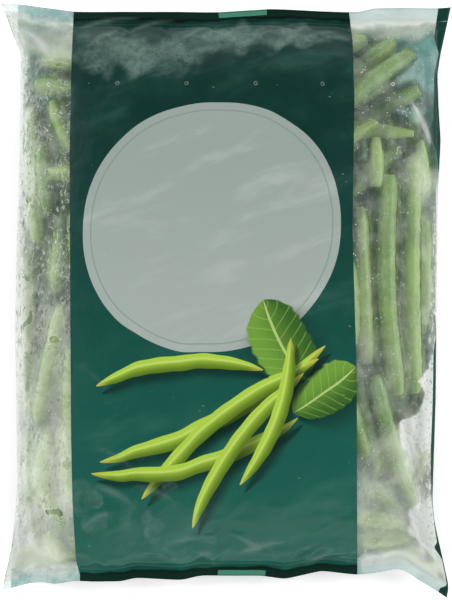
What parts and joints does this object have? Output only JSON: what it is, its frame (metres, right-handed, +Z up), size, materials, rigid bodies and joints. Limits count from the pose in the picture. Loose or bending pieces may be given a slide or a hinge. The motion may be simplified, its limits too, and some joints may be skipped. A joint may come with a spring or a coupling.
{
  "type": "bag of green beans",
  "caption": "Clear film pillow bag with a dark green printed band, welded at both ends, lying on its back and filled with loose frozen fine green beans.",
  "frame": {"origin": "on the table, under the middle of the bag's own box", "axes": "+X to the right as the printed front is read, +Y towards the top weld, +Z up out of the front of the bag, which lies on its back"},
  "size_m": [0.2046, 0.2703, 0.045],
  "materials": {
    "film": "glossy polyethylene film, clear and frosted at the sides, with a dark green printed band and back",
    "bean": null
  },
  "bodies": {
    "root": {"bag_film": "film", "bean_01": "bean", "bean_02": "bean", "bean_03": "bean", "bean_04": "bean", "bean_05": "bean", "bean_06": "bean", "bean_07": "bean", "bean_08": "bean", "bean_09": "bean", "bean_10": "bean", "bean_11": "bean", "bean_12": "bean", "bean_13": "bean", "bean_14": "bean", "bean_15": "bean", "bean_16": "bean", "bean_17": "bean", "bean_18": "bean", "bean_19": "bean", "bean_20": "bean", "bean_21": "bean", "bean_22": "bean", "bean_23": "bean", "bean_24": "bean", "bean_25": "bean", "bean_26": "bean", "bean_27": "bean", "bean_28": "bean", "bean_29": "bean", "bean_30": "bean", "bean_31": "bean", "bean_32": "bean", "bean_33": "bean", "bean_clump_01": "bean", "bean_clump_02": "bean", "bean_clump_03": "bean", "bean_clump_04": "bean", "bean_clump_05": "bean", "bean_clump_06": "bean", "bean_clump_07": "bean", "bean_clump_08": "bean", "bean_clump_09": "bean", "bean_clump_10": "bean", "bean_clump_11": "bean", "bean_clump_12": "bean", "bean_clump_13": "bean", "bean_clump_14": "bean", "bean_clump_15": "bean", "bean_clump_16": "bean", "bean_clump_17": "bean", "bean_clump_18": "bean", "bean_clump_19": "bean", "bean_clump_20": "bean", "bean_clump_21": "bean", "bean_clump_22": "bean", "bean_clump_23": "bean", "bean_clump_24": "bean", "bean_clump_25": "bean", "bean_clump_26": "bean"}
  },
  "joints": []
}
